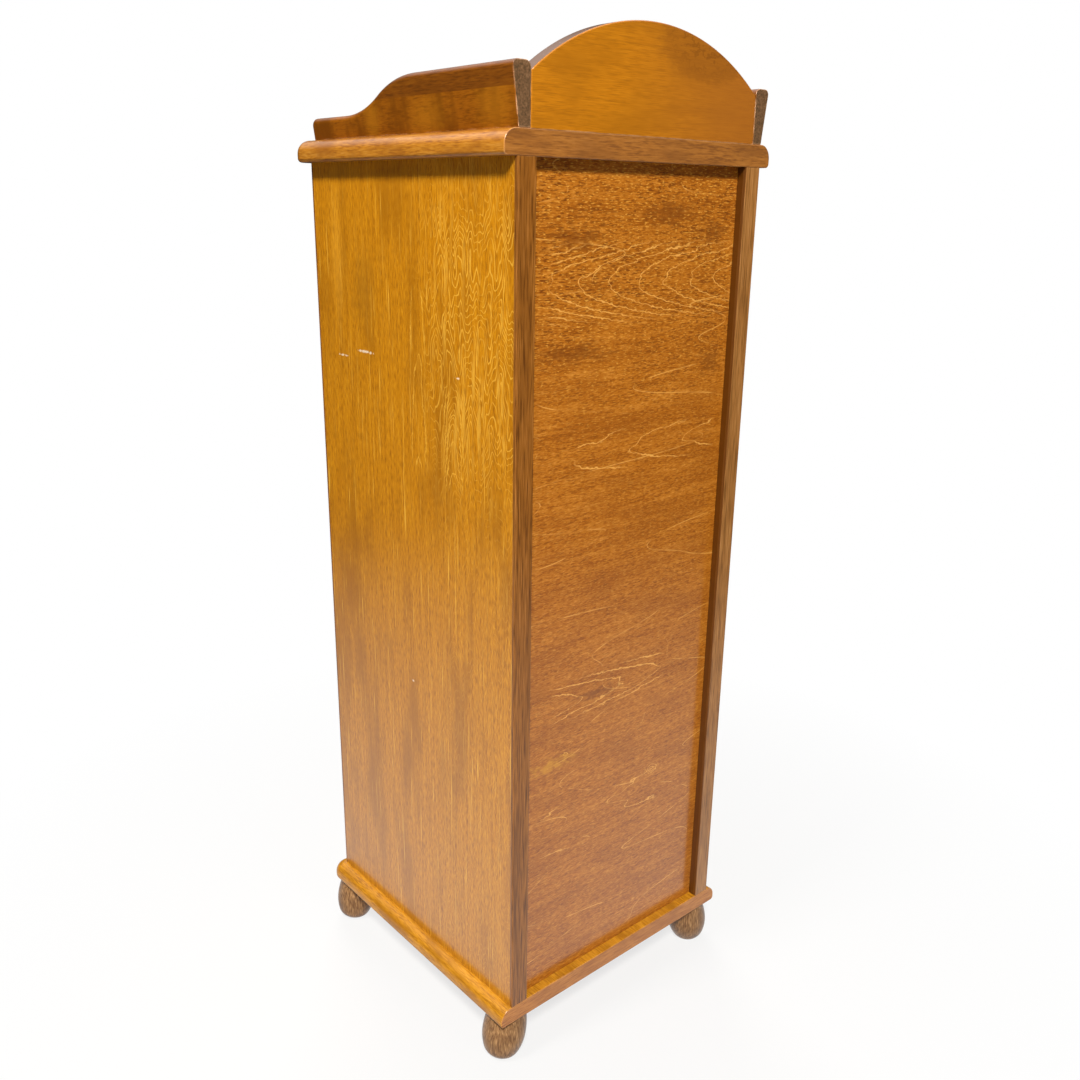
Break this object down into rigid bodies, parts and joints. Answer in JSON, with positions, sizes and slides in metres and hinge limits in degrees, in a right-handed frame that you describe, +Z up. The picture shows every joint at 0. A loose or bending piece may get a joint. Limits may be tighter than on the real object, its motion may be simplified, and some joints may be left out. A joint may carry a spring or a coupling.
{
  "type": "telephone stand",
  "caption": "Tall narrow telephone stand with a drawer over a framed door, moulded top and base boards, splayed turned feet and a gallery with an arched back.",
  "frame": {"origin": "on the floor, under the middle of the overall width and depth, knobs included", "axes": "+X to the right seen from the front, the front with the drawer and door faces -Y, +Z up"},
  "size_m": [0.298, 0.315, 0.8935],
  "materials": {
    "side_veneer": "golden brown stained veneer, satin lacquer",
    "back_ply": "red-brown stained plywood, satin lacquer",
    "edge_wood": "dark brown stained solid wood, satin lacquer",
    "board_wood": "brown stained solid wood, satin lacquer",
    "gallery_wood": "brown stained solid wood, satin lacquer",
    "foot_wood": "dark brown stained turned wood, satin lacquer",
    "front_wood": "brown stained wood, satin lacquer",
    "knob_wood": "dark brown stained turned wood, gloss lacquer",
    "box_wood": "plain pale wood",
    "dowel_wood": "plain beech",
    "hinge_brass": "plated, satin",
    "screw_steel": "zinc plated",
    "catch_plastic": "moulded, matt",
    "catch_magnet": "pressed ferrite, matt"
  },
  "bodies": {
    "stand": {"back_panel": "back_ply", "base_board": "board_wood", "carcass_dowels": "dowel_wood", "catch_housing": "catch_plastic", "catch_magnet": "catch_magnet", "catch_screws": "screw_steel", "divider_board": "front_wood", "divider_dowels": "dowel_wood", "drawer_kickers": "box_wood", "drawer_stops": "box_wood", "foot_bolts": "screw_steel", "foot_front_left": "foot_wood", "foot_front_right": "foot_wood", "foot_rear_left": "foot_wood", "foot_rear_right": "foot_wood", "front_lipping_left": "edge_wood", "front_lipping_right": "edge_wood", "gallery_back": "gallery_wood", "gallery_dowels": "dowel_wood", "gallery_rail_left": "gallery_wood", "gallery_rail_right": "gallery_wood", "hinge_lower_side_leaf": "hinge_brass", "hinge_pins": "hinge_brass", "hinge_side_screws": "hinge_brass", "hinge_upper_side_leaf": "hinge_brass", "rear_lipping_left": "edge_wood", "rear_lipping_right": "edge_wood", "shelf": "box_wood", "shelf_pins": "screw_steel", "side_panel_left": "side_veneer", "side_panel_right": "side_veneer", "top_board": "board_wood"},
    "drawer": {"drawer_back": "box_wood", "drawer_bottom": "box_wood", "drawer_front": "front_wood", "drawer_knob": "knob_wood", "drawer_knob_screw": "screw_steel", "drawer_side_left": "box_wood", "drawer_side_right": "box_wood"},
    "door": {"door_bottom_rail": "front_wood", "door_hinge_stile": "front_wood", "door_knob": "knob_wood", "door_knob_screw": "screw_steel", "door_latch_stile": "front_wood", "door_panel": "front_wood", "door_top_rail": "front_wood", "hinge_upper_door_leaf": "hinge_brass", "hinge_lower_door_leaf": "hinge_brass", "hinge_door_screws": "hinge_brass", "strike_plate": "screw_steel", "strike_screw": "screw_steel"}
  },
  "joints": [
    {"name": "drawer_slide", "type": "slide", "parent": "stand", "child": "drawer", "axis": [0, -1, 0], "range_m": [0, 0.19]},
    {"name": "door_swing", "type": "hinge", "parent": "stand", "child": "door", "pos_m": [-0.11625, -0.1364, 0.3665], "axis": [0, 0, -1], "range_deg": [0, 170]}
  ]
}
